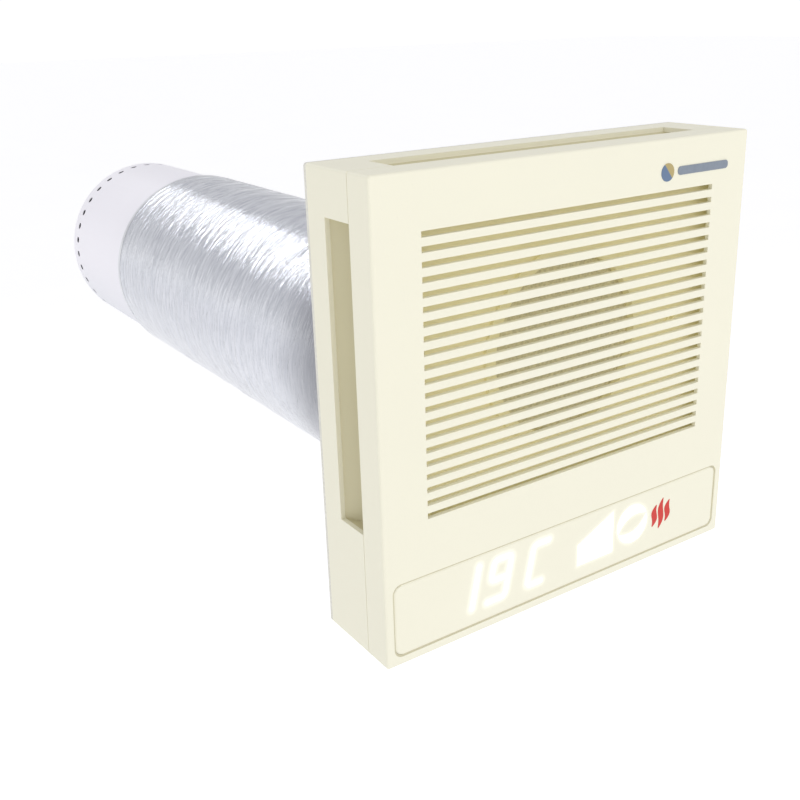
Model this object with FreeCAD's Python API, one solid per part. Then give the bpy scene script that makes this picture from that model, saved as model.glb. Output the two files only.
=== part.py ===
import FreeCAD, Part
import math
import os

os.makedirs("parts", exist_ok=True)

# Frame: the origin is on the duct axis at the wall plane. X points right, Y into the wall and Z up.

# Wall plate and cover (mm)
plate_width = 240.0
plate_height = 240.0
plate_depth = 55.0
plate_rise = 21.0            # plate centre above the duct axis
cover_depth = 17.0           # front part of the plate's depth that pulls off
seam_groove = 0.4            # shadow line around the housing, next to the cover
shell_wall = 2.5
corner_radius = 1.6
gasket_thickness = 2.0
gasket_strip = 10.0

# Front grille and air outlets
slot_count = 21
slot_pitch = 6.8
slot_height = 2.9
slot_half_width = 94.0
top_slot_height = 92.0       # first slot above the plate centre
outlet_reach = 21.0          # outlet width, back from the cover's edge
side_outlet_low = -53.0      # ends of the side outlets, from the plate centre
side_outlet_high = 97.5
top_outlet_half_width = 96.0
guide_setback = 14.0         # deepest edge of the air guide behind each outlet, from the outer face
guide_front_gap = 8.0        # air gap between a guide's front edge and the divider
guide_thickness = 1.5

# Display strip, from the plate centre
window_half_width = 115.5
window_low = -115.5
window_high = -75.0
window_corner = 5.0
window_thickness = 1.2
window_recess = 0.2
window_gap = 1.0
window_seal_setback = 0.35    # seal bead in the window gap, behind the window's face
light_opening_half_width = 90.0
light_opening_margin = 4.5
stroke_width = 3.6
digit_height = 27.0
digit_width = 15.0
digit_lean = 5.0
badge_thickness = 0.3
badge_x = 59.0
badge_z = 103.0
badge_disc_radius = 4.6
badge_bar_start = 7.5
badge_bar_end = 46.0
badge_bar_half_height = 2.2
digit_light_x = (-73.0, -11.0)
signal_light_x = (1.0, 33.0)
fan_light_x = (34.5, 59.0)
heat_light_x = (60.5, 80.0)
display_board_half_width = 88.0
digit_base_z = -106.0
signal_base_z = -107.0
fan_symbol_x = 46.5
fan_symbol_z = -93.0
fan_symbol_radius = 11.5
fan_symbol_split = 2.0

# Duct and its jacket
duct_outer_radius = 75.0
duct_wall = 3.0
duct_length = 550.0
jacket_thickness = 2.5
jacket_end = 420.0
end_band_width = 4.0
rim_hole_count = 36
rim_hole_radius = 2.8
rim_hole_setback = 12.0
grille_slot_pitch = 9.0
grille_slot_height = 5.2
grille_margin = 4.0
heater_fin_pitch = 12.0
collar_width = 15.0
collar_thickness = 3.0

# Heat exchanger
annulus_width = 20.0
core_wall = 1.5
sheet_thickness = 3.0
room_sheet_y = 10.0
outdoor_sheet_setback = 117.0
tube_radius = 5.0
tube_wall = 0.6
tube_pitch = 14.0
baffle_count = 4
baffle_thickness = 1.5

# Extract inlet, fans and heater
inlet_rise = 21.0            # extract inlet above the plate centre
inlet_radius = 47.0
divider_setback = 9.0        # divider's front behind the cover's face
divider_thickness = 2.0
divider_gap = 1.0
hood_wall = 2.0
fan_depth = 12.0
fan_base_thickness = 3.0
fan_ring_step = 2.0          # extract fan's ring inside the filter's radius
fan_ring_wall = 5.5          # supply fan's ring inside the exchanger core
fan_tip_gap = 1.5
hub_radius = 16.0
shaft_radius = 2.0
running_gap = 0.05
blade_count = 7
blade_pitch_deg = 32.0
supply_fan_setback = 94.0    # supply fan's base, from the duct's outdoor end

# Small fittings
peg_radius = 3.0
peg_gap = 0.3
socket_wall = 2.2
pillar_radius = 4.0
screw_radius = 1.5
wall_hole_radius = 2.75
gland_radius = 6.0
cable_radius = 3.6
lead_radius = 1.2
lead_bend = 4.0
lead_hole_radius = 1.7

# Derived positions
half_width = plate_width / 2
half_height = plate_height / 2
top_z = plate_rise + half_height
bottom_z = plate_rise - half_height
face_y = -plate_depth
face_inner_y = face_y + shell_wall
seam_y = face_y + cover_depth
panel_y = -gasket_thickness
panel_inner_y = panel_y - shell_wall
outlet_back_y = seam_y + outlet_reach
divider_y = face_y + divider_setback
divider_back_y = divider_y + divider_thickness
duct_inner_radius = duct_outer_radius - duct_wall
duct_front_y = panel_inner_y - collar_thickness
jacket_radius = duct_outer_radius + jacket_thickness
core_outer_radius = duct_inner_radius - annulus_width
core_inner_radius = core_outer_radius - core_wall
outdoor_sheet_y = duct_length - outdoor_sheet_setback
inlet_z = plate_rise + inlet_rise
hood_low_radius = duct_outer_radius + 5.0
hood_high_radius = inlet_radius + 11.0
elbow_front_y = duct_front_y - 14.5
elbow_back_y = duct_front_y - 2.5
elbow_low_z = -(hood_low_radius + 4.0)
extract_fan_y = elbow_front_y - 2.0
supply_fan_y = duct_length - supply_fan_setback
extract_ring_inner = inlet_radius - fan_ring_step
supply_ring_inner = core_inner_radius - fan_ring_wall
grille_y = duct_length - 7.0
grille_back_y = duct_length - 1.0
tube_rings = int((core_inner_radius - tube_radius - 1.0) / tube_pitch)
row_spacing = tube_pitch * math.sqrt(3) / 2
slot_rows = [plate_rise + top_slot_height - i * slot_pitch for i in range(slot_count)]
pillar_spots = [(sx * (half_width - 9.0), z) for sx in (-1, 1) for z in (bottom_z + 9.0, top_z - 7.0)]
peg_spots = [(sx * (half_width - 24.0), top_z - 25.0) for sx in (-1, 1)]
peg_spots += [(sx * (half_width - 16.0), bottom_z + 33.0) for sx in (-1, 1)]
wall_hole_spots = [(sx * (half_width - 22.0), z) for sx in (-1, 1) for z in (bottom_z + 55.0, top_z - 51.0)]
board_x0 = half_width - 60.0
board_x1 = half_width - 28.0
board_z0 = bottom_z + 7.0
board_z1 = bottom_z + 41.0
board_y = panel_inner_y - 6.0
board_thickness = 1.6
terminal_x0 = -(half_width - 28.0)
terminal_x1 = -(half_width - 54.0)
gland_x = -(half_width - 36.0)
gland_z = bottom_z + 39.0
display_y = divider_y - 2.4
display_front_y = display_y - board_thickness


def vec(x, y, z):
    return FreeCAD.Vector(x, y, z)


def block(x0, x1, y0, y1, z0, z1):
    return Part.makeBox(x1 - x0, y1 - y0, z1 - z0, vec(x0, y0, z0))


def rod(x, z, radius, y0, y1):
    return Part.makeCylinder(radius, y1 - y0, vec(x, y0, z), vec(0, 1, 0))


def ring(x, z, outer, inner, y0, y1):
    return rod(x, z, outer, y0, y1).cut(rod(x, z, inner, y0, y1))


def join(pieces):
    whole = pieces[0]
    if len(pieces) > 1:
        whole = whole.fuse(pieces[1:])
    return whole.removeSplitter()


def group(pieces):
    return Part.makeCompound(pieces)


def prism(points, y0, y1):
    """Extrude a closed outline of (x, z) points along Y."""
    corners = [vec(x, y0, z) for x, z in points]
    outline = Part.makePolygon(corners + [corners[0]])
    return Part.Face(outline).extrude(vec(0, y1 - y0, 0))


def rounded_prism(x0, x1, z0, z1, radius, y0, y1):
    plain = block(x0, x1, y0, y1, z0, z1)
    upright = [e for e in plain.Edges if abs(e.tangentAt(e.FirstParameter).y) > 0.9]
    return plain.makeFillet(radius, upright)


def hood_prism(low_radius, high_radius, y0, y1):
    """A round end on the duct axis, a smaller round end on the inlet axis, and their tangent flanks."""
    lean = math.asin((low_radius - high_radius) / inlet_z)
    low_x = low_radius * math.cos(lean)
    low_z = low_radius * math.sin(lean)
    high_x = high_radius * math.cos(lean)
    high_z = inlet_z + high_radius * math.sin(lean)
    flank_right = Part.LineSegment(vec(low_x, y0, low_z), vec(high_x, y0, high_z))
    crown = Part.Arc(vec(high_x, y0, high_z), vec(0, y0, inlet_z + high_radius), vec(-high_x, y0, high_z))
    flank_left = Part.LineSegment(vec(-high_x, y0, high_z), vec(-low_x, y0, low_z))
    sump = Part.Arc(vec(-low_x, y0, low_z), vec(0, y0, -low_radius), vec(low_x, y0, low_z))
    edges = [g.toShape() for g in (flank_right, crown, flank_left, sump)]
    return Part.Face(Part.Wire(edges)).extrude(vec(0, y1 - y0, 0))


def lead(points, radius, bend):
    """A round wire along straight runs joined by arcs."""
    spots = [vec(*p) for p in points]
    edges = []
    start = spots[0]
    for before, corner, after in zip(spots, spots[1:], spots[2:]):
        into = (corner - before).normalize()
        away = (after - corner).normalize()
        arc_start = corner - into * bend
        arc_end = corner + away * bend
        centre = arc_start + away * bend
        middle = centre + (corner - centre).normalize() * bend
        edges.append(Part.makeLine(start, arc_start))
        edges.append(Part.Arc(arc_start, middle, arc_end).toShape())
        start = arc_end
    edges.append(Part.makeLine(start, spots[-1]))
    path = Part.Wire(edges)
    section = Part.Wire([Part.makeCircle(radius, spots[0], (spots[1] - spots[0]).normalize())])
    return path.makePipeShell([section], True, False)


def save(name, shape):
    shape.exportStep("parts/" + name + ".step")


# Rear housing and what fixes it

def make_rear_housing():
    shell = rounded_prism(-half_width, half_width, bottom_z, top_z, corner_radius, seam_y, panel_y)
    cavity = block(-half_width + shell_wall, half_width - shell_wall, seam_y, panel_inner_y,
                   bottom_z + shell_wall, top_z - shell_wall)
    shell = shell.cut(cavity)
    fittings = [rod(x, z, pillar_radius, divider_back_y, panel_inner_y) for x, z in pillar_spots]
    fittings += [rod(x, z, peg_radius + peg_gap + socket_wall, seam_y + 8.0, panel_inner_y)
                 for x, z in peg_spots]
    fittings += [rod(x, z, 2.5, board_y, panel_inner_y)
                 for x, z in ((board_x0 + 5.0, board_z0 + 5.0), (board_x1 - 5.0, board_z1 - 5.0))]
    shell = shell.fuse(fittings)
    low = plate_rise + side_outlet_low
    high = plate_rise + side_outlet_high
    left_outlet = block(-half_width - 1, -half_width + shell_wall + 1, seam_y - 1, outlet_back_y, low, high)
    right_outlet = block(half_width - shell_wall - 1, half_width + 1, seam_y - 1, outlet_back_y, low, high)
    top_outlet = block(-top_outlet_half_width, top_outlet_half_width, seam_y - 1, outlet_back_y,
                       top_z - shell_wall - 1, top_z + 1)
    groove = rounded_prism(-half_width, half_width, bottom_z, top_z, corner_radius,
                           seam_y, seam_y + seam_groove)
    inside_groove = rounded_prism(-half_width + seam_groove, half_width - seam_groove, bottom_z + seam_groove,
                                  top_z - seam_groove, corner_radius, seam_y, seam_y + seam_groove)
    cuts = [left_outlet, right_outlet, top_outlet, groove.cut(inside_groove)]
    cuts.append(rod(0, 0, duct_outer_radius, panel_inner_y - 1, panel_y + 1))
    cuts.append(rod(gland_x, gland_z, gland_radius, panel_inner_y - 1, panel_y + 1))
    for x, z in wall_hole_spots:
        cuts.append(rod(x, z, wall_hole_radius, panel_inner_y - 1, panel_y + 1))
    for x, z in pillar_spots:
        cuts.append(rod(x, z, screw_radius, divider_back_y, divider_back_y + 8.0))
    for x, z in peg_spots:
        cuts.append(rod(x, z, peg_radius + peg_gap, seam_y + 8.0, panel_inner_y))
    for x, z in collar_screw_spots():
        cuts.append(rod(x, z, screw_radius, panel_inner_y, panel_y))
    return shell.cut(cuts).removeSplitter()


def make_wall_gasket():
    outer = rounded_prism(-half_width, half_width, bottom_z, top_z, corner_radius, panel_y, 0)
    inner = block(-half_width + gasket_strip, half_width - gasket_strip, panel_y, 0,
                  bottom_z + gasket_strip, top_z - gasket_strip)
    return outer.cut(inner)


def scoop(length):
    """A sloping air guide with closed ends, made for an outlet in a wall at x = 0 with the inside at +x."""
    front_y = divider_back_y + guide_front_gap
    depth = guide_setback - shell_wall
    slope = [(0, outlet_back_y), (depth, front_y), (depth + guide_thickness, front_y),
             (0, outlet_back_y + shell_wall)]
    end = [(0, outlet_back_y), (depth, front_y), (0, front_y)]

    def sheet(points, z0, z1):
        corners = [vec(x, y, z0) for x, y in points]
        outline = Part.makePolygon(corners + [corners[0]])
        return Part.Face(outline).extrude(vec(0, 0, z1 - z0))

    half = length / 2 + guide_thickness
    ends = [sheet(end, -half, -half + guide_thickness), sheet(end, half - guide_thickness, half)]
    return join([sheet(slope, -half, half)] + ends)


def make_air_guide(side):
    """Guide behind a side outlet."""
    guide = scoop(side_outlet_high - side_outlet_low)
    if side > 0:
        guide.rotate(vec(0, 0, 0), vec(0, 0, 1), 180)
        guide = guide.mirror(vec(0, 0, 0), vec(0, 1, 0))
    middle = plate_rise + (side_outlet_low + side_outlet_high) / 2
    guide.translate(vec(side * (half_width - shell_wall), 0, middle))
    return guide


def make_top_guide():
    guide = scoop(2 * top_outlet_half_width)
    guide.rotate(vec(0, 0, 0), vec(0, 1, 0), 90)
    guide.translate(vec(0, 0, top_z - shell_wall))
    return guide


def make_cable_gland():
    body = join([rod(gland_x, gland_z, gland_radius + 3.0, panel_inner_y - 4.0, panel_inner_y),
                 rod(gland_x, gland_z, gland_radius, panel_inner_y, 0)])
    return body.cut(rod(gland_x, gland_z, cable_radius, panel_inner_y - 4.0, 0))


# Duct, jacket and outdoor end

def collar_screw_spots():
    radius = duct_outer_radius + collar_width * 0.65
    angles = [math.radians(60 * i) for i in range(6)]
    return [(radius * math.cos(a), radius * math.sin(a)) for a in angles]


def make_duct_tube():
    tube = ring(0, 0, duct_outer_radius, duct_inner_radius, duct_front_y, duct_length)
    y = duct_length - rim_hole_setback
    drills = []
    for i in range(rim_hole_count):
        angle = 2 * math.pi * i / rim_hole_count
        out = vec(math.cos(angle), 0, math.sin(angle))
        base = out * (duct_inner_radius - 1) + vec(0, y, 0)
        drills.append(Part.makeCylinder(rim_hole_radius, duct_wall + 2, base, out))
    return tube.cut(drills)


def make_duct_collar():
    collar = ring(0, 0, duct_outer_radius + collar_width, duct_outer_radius, duct_front_y, panel_inner_y)
    return collar.cut([rod(x, z, screw_radius, duct_front_y, panel_inner_y) for x, z in collar_screw_spots()])


def make_collar_screws():
    screws = []
    for x, z in collar_screw_spots():
        shank = rod(x, z, screw_radius, duct_front_y, panel_y)
        head = rod(x, z, screw_radius * 1.7, duct_front_y - 1.6, duct_front_y)
        screws.append(join([shank, head]))
    return group(screws)


def make_insulation_jacket():
    return ring(0, 0, jacket_radius, duct_outer_radius, panel_y, jacket_end - end_band_width)


def make_jacket_end_band():
    return ring(0, 0, jacket_radius, duct_outer_radius, jacket_end - end_band_width, jacket_end)


def make_outdoor_grille():
    disc = rod(0, 0, duct_inner_radius, grille_y, grille_back_y)
    cuts = []
    reach = core_inner_radius - grille_margin
    rows = int((reach - grille_slot_height) / grille_slot_pitch)
    for i in range(-rows, rows + 1):
        z = i * grille_slot_pitch
        half = math.sqrt(reach ** 2 - z ** 2)
        cuts.append(block(-half, half, grille_y, grille_back_y,
                          z - grille_slot_height / 2, z + grille_slot_height / 2))
    annulus = ring(0, 0, duct_inner_radius - grille_margin, core_outer_radius + 3.0, grille_y, grille_back_y)
    bars = []
    for i in range(6):
        bar = block(-duct_outer_radius, duct_outer_radius, grille_y, grille_back_y, -3, 3)
        bar.rotate(vec(0, 0, 0), vec(0, 1, 0), 15 + 30 * i)
        bars.append(bar)
    cuts.append(annulus.cut(bars))
    return disc.cut(cuts)


def make_insect_guard():
    pieces = [ring(0, 0, core_inner_radius, core_inner_radius - 2.0, grille_y - 3.0, grille_y - 1.0)]
    for i in range(1, 6):
        radius = i * (core_inner_radius - 2.0) / 6
        pieces.append(ring(0, 0, radius + 0.6, radius - 0.6, grille_y - 3.0, grille_y - 1.0))
    for angle in (0, 60, 120):
        bar = block(-core_inner_radius + 1.0, core_inner_radius - 1.0,
                    grille_y - 3.0, grille_y - 1.0, -0.8, 0.8)
        bar.rotate(vec(0, 0, 0), vec(0, 1, 0), angle)
        pieces.append(bar)
    return join(pieces)


# Heat exchanger

def tube_centres():
    centres = []
    for q in range(-tube_rings, tube_rings + 1):
        for r in range(-tube_rings, tube_rings + 1):
            if abs(q + r) <= tube_rings:
                centres.append((tube_pitch * (q + r / 2), row_spacing * r))
    return centres


def tube_holes(y0, y1):
    return [rod(x, z, tube_radius, y0, y1) for x, z in tube_centres()]


def make_tube_sheet(y):
    spokes = []
    for angle in (45, 135):
        bar = block(-duct_inner_radius + 0.5, duct_inner_radius - 0.5, y, y + sheet_thickness, -4, 4)
        bar.rotate(vec(0, 0, 0), vec(0, 1, 0), angle)
        spokes.append(bar)
    rim = ring(0, 0, duct_inner_radius, duct_inner_radius - 3.0, y, y + sheet_thickness)
    sheet = join([rod(0, 0, core_outer_radius, y, y + sheet_thickness), rim] + spokes)
    x, z = fan_lead_spot()
    lead_hole = rod(x, z, lead_hole_radius, y, y + sheet_thickness)
    return sheet.cut(tube_holes(y, y + sheet_thickness) + [lead_hole])


def make_exchanger_tubes():
    end_y = outdoor_sheet_y + sheet_thickness
    return group([ring(x, z, tube_radius, tube_radius - tube_wall, room_sheet_y, end_y)
                  for x, z in tube_centres()])


def make_flow_baffles():
    span = outdoor_sheet_y - room_sheet_y
    cut_z = (tube_rings - 0.5) * row_spacing
    baffles = []
    for i in range(baffle_count):
        y = room_sheet_y + span * (i + 1) / (baffle_count + 1)
        disc = rod(0, 0, duct_inner_radius, y, y + baffle_thickness)
        if i % 2:
            keep = block(-duct_outer_radius, duct_outer_radius, y, y + baffle_thickness,
                         -duct_outer_radius, cut_z)
        else:
            keep = block(-duct_outer_radius, duct_outer_radius, y, y + baffle_thickness,
                         -cut_z, duct_outer_radius)
        drills = tube_holes(y, y + baffle_thickness)
        x, z = fan_lead_spot()
        drills.append(rod(x, z, lead_hole_radius, y, y + baffle_thickness))
        baffles.append(disc.common(keep).cut(drills))
    return group(baffles)


# Air paths and fans

def make_extract_hood():
    hood = hood_prism(hood_low_radius, hood_high_radius, divider_back_y, duct_front_y)
    hollow = hood_prism(hood_low_radius - hood_wall, hood_high_radius - hood_wall,
                        divider_back_y, duct_front_y - hood_wall)
    mouth = rod(0, 0, duct_inner_radius, duct_front_y - hood_wall, duct_front_y)
    elbow_pass = block(-core_outer_radius, core_outer_radius, elbow_front_y, elbow_back_y, elbow_low_z, -40)
    holes = [mouth, elbow_pass]
    for y, z in ((extract_fan_y - 6.0, inlet_z), (elbow_front_y + 7.0, -20.0), (elbow_front_y + 3.5, -10.0)):
        holes.append(Part.makeCylinder(lead_hole_radius, 60, vec(40, y, z), vec(1, 0, 0)))
    for x, z in collar_screw_spots():
        holes.append(rod(x, z, screw_radius * 1.7 + 0.4, duct_front_y - 2.0, duct_front_y))
    return hood.cut(hollow).cut(holes)


def make_supply_elbow():
    outer = join([rod(0, 0, core_outer_radius, elbow_front_y, room_sheet_y),
                  block(-core_outer_radius, core_outer_radius, elbow_front_y, elbow_back_y, elbow_low_z, 0)])
    inner_back_y = elbow_back_y - core_wall
    inner = join([rod(0, 0, core_inner_radius, elbow_front_y + core_wall, room_sheet_y),
                  block(-core_inner_radius, core_inner_radius, elbow_front_y + core_wall, inner_back_y,
                        elbow_low_z, 0)])
    lead_hole = Part.makeCylinder(lead_hole_radius, 10, vec(core_inner_radius - 4, 2.0, -10.0), vec(1, 0, 0))
    return outer.cut([inner, lead_hole])


def make_heater_element():
    frame = ring(0, 0, core_inner_radius, core_inner_radius - 3.0, -4.0, 4.0)
    bars = []
    reach = core_inner_radius - 2.0
    rows = int((reach - 6.0) / heater_fin_pitch)
    for i in range(-rows, rows + 1):
        z = i * heater_fin_pitch
        half = math.sqrt(reach ** 2 - (abs(z) + 1.0) ** 2)
        bars.append(block(-half, half, -3.0, 3.0, z - 1.0, z + 1.0))
    socket = Part.makeCylinder(lead_radius, 5, vec(heater_lead_start(), 2.0, -10.0), vec(1, 0, 0))
    return join([frame] + bars).cut(socket)


def make_intake_tube():
    tube = ring(0, 0, core_outer_radius, core_inner_radius, outdoor_sheet_y + sheet_thickness, grille_y)
    lead_hole = Part.makeCylinder(lead_hole_radius, 20, vec(40, supply_fan_y + 6.0, -20.0), vec(1, 0, 0))
    return tube.cut(lead_hole)


def span_y(base_y, side, near, far):
    """Two ordered Y values at the given distances from a fan's base."""
    ends = (base_y + side * near, base_y + side * far)
    return min(ends), max(ends)


def make_fan_frame(z, base_y, side, outer_radius, ring_inner):
    low, high = span_y(base_y, side, 0, fan_depth)
    frame = ring(0, z, outer_radius, ring_inner, low, high)
    low, high = span_y(base_y, side, 0, fan_base_thickness)
    pieces = [frame, rod(0, z, hub_radius - 1.0, low, high)]
    for angle in (90, 210, 330):
        strut = block(hub_radius - 2.0, ring_inner + 0.5, low, high, z - 2.5, z + 2.5)
        strut.rotate(vec(0, 0, z), vec(0, 1, 0), angle)
        pieces.append(strut)
    return join(pieces)


def make_extract_fan_frame():
    frame = make_fan_frame(inlet_z, extract_fan_y, -1, hood_high_radius - hood_wall - 1.5, extract_ring_inner)
    front_y = extract_fan_y - fan_depth
    post_radius = inlet_radius + 4.5
    posts = []
    for angle in (45, 135, 225, 315):
        x = post_radius * math.cos(math.radians(angle))
        z = inlet_z + post_radius * math.sin(math.radians(angle))
        posts.append(rod(x, z, 2.2, divider_back_y, front_y + 1.0))
    socket_base = vec(hood_high_radius - hood_wall - 5.0, extract_fan_y - 6.0, inlet_z)
    socket = Part.makeCylinder(lead_radius, 10, socket_base, vec(1, 0, 0))
    return join([frame] + posts).cut(socket)


def make_supply_fan_frame():
    frame = make_fan_frame(0, supply_fan_y, 1, core_inner_radius, supply_ring_inner)
    socket_base = vec(core_inner_radius - 6.0, supply_fan_y + 6.0, -20.0)
    socket = Part.makeCylinder(lead_radius, 20, socket_base, vec(1, 0, 0))
    return frame.cut(socket)


def make_fan_motor(z, base_y, side):
    low, high = span_y(base_y, side, fan_base_thickness, 7.0)
    shaft_low, shaft_high = span_y(base_y, side, fan_base_thickness, 10.0)
    return join([rod(0, z, hub_radius - 4.0, low, high), rod(0, z, shaft_radius, shaft_low, shaft_high)])


def make_impeller(z, base_y, side, ring_inner):
    low, high = span_y(base_y, side, fan_base_thickness + 0.3, fan_depth - 1.0)
    hub = rod(0, z, hub_radius, low, high)
    tip = ring_inner - fan_tip_gap
    blades = []
    for i in range(blade_count):
        middle = (low + high) / 2
        blade = block(hub_radius - 2.0, tip + 1.0, middle - 0.6, middle + 0.6, -11.0, 11.0)
        blade.rotate(vec(0, middle, 0), vec(1, 0, 0), side * blade_pitch_deg)
        blade.rotate(vec(0, 0, 0), vec(0, 1, 0), 360.0 * i / blade_count)
        blade.translate(vec(0, 0, z))
        blades.append(blade)
    sweep = ring(0, z, tip, hub_radius - 2.5, low, high)
    wheel = hub.fuse([blade.common(sweep) for blade in blades])
    cup_low, cup_high = span_y(base_y, side, fan_base_thickness, 8.0)
    bore_low, bore_high = span_y(base_y, side, fan_base_thickness, 10.2)
    cup = rod(0, z, hub_radius - 3.0, cup_low, cup_high)
    bore = rod(0, z, shaft_radius + running_gap, bore_low, bore_high)
    cuts = [cup, bore]
    return wheel.cut(cuts).removeSplitter()


# Divider, filter and electronics

def make_divider_plate():
    reach_x = half_width - shell_wall - divider_gap
    low = bottom_z + shell_wall + divider_gap
    high = top_z - shell_wall - divider_gap
    plate = rounded_prism(-reach_x, reach_x, low, high, 2.0, divider_y, divider_back_y)
    standoff_x = display_board_half_width - 8.0
    standoffs = [rod(x, z, 2.0, display_y, divider_y)
                 for x in (-standoff_x, standoff_x) for z in (display_low() + 4.0, display_high() - 4.0)]
    plate = plate.fuse(standoffs)
    cuts = [rod(0, inlet_z, inlet_radius + 1.5, divider_y, divider_back_y)]
    for x, z in pillar_spots:
        cuts.append(rod(x, z, screw_radius, divider_y, divider_back_y))
    for x, z in peg_spots:
        cuts.append(rod(x, z, peg_radius + 1.2, divider_y, divider_back_y))
    cuts.append(rod(display_lead_x(), display_lead_z(), 3.0, divider_y, divider_back_y))
    return plate.cut(cuts)


def make_divider_screws():
    screws = []
    for x, z in pillar_spots:
        head = rod(x, z, 3.0, divider_y - 2.0, divider_y)
        shank = rod(x, z, screw_radius, divider_y, divider_back_y + 7.0)
        cross = block(x - 1.8, x + 1.8, divider_y - 2.0, divider_y - 1.0, z - 0.4, z + 0.4)
        screws.append(join([head, shank]).cut(cross))
    return group(screws)


def make_filter_frame():
    flange = ring(0, inlet_z, inlet_radius + 6.0, inlet_radius, divider_y - 2.0, divider_y)
    sleeve = ring(0, inlet_z, inlet_radius + 1.5, inlet_radius, divider_y, divider_y + 8.0)
    bars = []
    for angle in (0, 90):
        bar = block(-inlet_radius - 0.5, inlet_radius + 0.5, divider_y + 7.0, divider_y + 8.0, -1.5, 1.5)
        bar.rotate(vec(0, 0, 0), vec(0, 1, 0), angle)
        bar.translate(vec(0, 0, inlet_z))
        bars.append(bar)
    return join([flange, sleeve] + bars)


def make_filter_pad():
    return rod(0, inlet_z, inlet_radius, divider_y + 2.0, divider_y + 7.0)


def make_control_board():
    return block(board_x0, board_x1, board_y - board_thickness, board_y, board_z0, board_z1)


def make_board_parts():
    front = board_y - board_thickness
    transformer = block(board_x0 + 3, board_x0 + 18, front - 14, front, board_z0 + 3, board_z0 + 19)
    relay = block(board_x0 + 20.5, board_x0 + 29, front - 10, front, board_z0 + 3, board_z0 + 15)
    capacitor = rod(board_x0 + 7, board_z1 - 6, 4.0, front - 12, front)
    sockets = block(board_x0 + 18, board_x0 + 30, front - 7, front, board_z1 - 10, board_z1 - 3)
    return group([transformer, relay, capacitor, sockets])


def make_terminal_block():
    body = block(terminal_x0, terminal_x1, panel_inner_y - 15.0, panel_inner_y, board_z0, board_z0 + 16.0)
    for i in range(3):
        x = terminal_x0 + 5.5 + 7.5 * i
        body = body.cut(rod(x, board_z0 + 11.0, 2.0, panel_inner_y - 15.0, panel_inner_y - 11.0))
    return body


def display_low():
    return plate_rise + window_low + light_opening_margin + 1.0


def display_high():
    return plate_rise + window_high - light_opening_margin - 1.0


def display_lead_x():
    return board_x0 + 24.0


def display_lead_z():
    return board_z1 - 6.5


def make_display_board():
    return block(-display_board_half_width, display_board_half_width, display_front_y, display_y,
                 display_low(), display_high())


def make_light_block(x0, x1):
    return block(x0, x1, face_inner_y - 0.5, display_front_y, display_low() + 2.0, display_high() - 2.0)


def make_temperature_sensor():
    x = inlet_radius + 30.0
    base = block(x - 3, x + 3, divider_y - 1.5, divider_y, inlet_z - 4, inlet_z + 4)
    return join([base, rod(x, inlet_z, 1.8, divider_y - 4.0, divider_y - 1.0)])


def make_mains_lead():
    y = board_y - board_thickness / 2
    z = board_z0 + 2.0
    return lead([(terminal_x1, y, z), (board_x0, y, z)], lead_radius, lead_bend)


def make_display_lead():
    x = display_lead_x()
    z = display_lead_z()
    start_y = board_y - board_thickness - 7.0
    return lead([(x, start_y, z), (x, display_y, z)], lead_radius, lead_bend)


def fan_lead_spot():
    return math.sqrt((duct_inner_radius - 2.1) ** 2 - 20.0 ** 2), -20.0


def make_extract_fan_lead():
    y = extract_fan_y - 6.0
    x = board_x1 - 2.0
    end_y = board_y - board_thickness
    z = board_z1 - 1.8
    return lead([(hood_high_radius - hood_wall - 4.0, y, inlet_z), (x, y, inlet_z), (x, y, z), (x, end_y, z)],
                lead_radius, lead_bend)


def heater_lead_start():
    return math.sqrt(core_inner_radius ** 2 - 10.0 ** 2) - 0.6


def make_supply_fan_lead():
    y = elbow_front_y + 7.0
    x = hood_low_radius + 6.0
    duct_x, duct_z = fan_lead_spot()
    socket_x = math.sqrt(core_inner_radius ** 2 - 20.0 ** 2) - 1.5
    fan_y = supply_fan_y + 6.0
    return lead([(x, y, board_z1 - 3.0), (x, y, duct_z), (duct_x, y, duct_z), (duct_x, fan_y, duct_z),
                 (socket_x, fan_y, duct_z)], lead_radius, lead_bend)


def make_heater_lead():
    y = elbow_front_y + 3.5
    x = hood_low_radius + 3.0
    run_x = core_outer_radius + 8.0
    return lead([(heater_lead_start(), 2.0, -10.0), (run_x, 2.0, -10.0), (run_x, y, -10.0), (x, y, -10.0),
                 (x, y, board_z1 - 3.0)], lead_radius, lead_bend)


# Pull-off front cover

def make_front_cover():
    shell = rounded_prism(-half_width, half_width, bottom_z, top_z, corner_radius, face_y, seam_y)
    front_edges = [e for e in shell.Edges if abs(e.BoundBox.YMax - face_y) < 0.01]
    shell = shell.makeFillet(1.2, front_edges)
    cavity = block(-half_width + shell_wall, half_width - shell_wall, face_inner_y, seam_y,
                   bottom_z + shell_wall, top_z - shell_wall)
    cuts = [cavity]
    for z in slot_rows:
        cuts.append(block(-slot_half_width, slot_half_width, face_y - 1, face_inner_y + 1,
                          z - slot_height / 2, z + slot_height / 2))
    ledge_y = face_y + window_recess + window_thickness
    cuts.append(window_outline(0, face_y - 1, ledge_y))
    cuts.append(block(-light_opening_half_width, light_opening_half_width, face_y, face_inner_y + 1,
                      plate_rise + window_low + light_opening_margin,
                      plate_rise + window_high - light_opening_margin))
    return shell.cut(cuts)


def make_cover_pegs():
    return group([rod(x, z, peg_radius, face_inner_y, panel_inner_y - 5.0) for x, z in peg_spots])


def make_badge():
    z = plate_rise + badge_z
    disc = rod(badge_x, z, badge_disc_radius, face_y - badge_thickness, face_y)
    bar_low = z - badge_bar_half_height
    bar_high = z + badge_bar_half_height
    bar_corner = badge_bar_half_height - 0.2
    bar = rounded_prism(badge_x + badge_bar_start, badge_x + badge_bar_end, bar_low, bar_high,
                        bar_corner, face_y - badge_thickness, face_y)
    return group([disc, bar])


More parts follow.
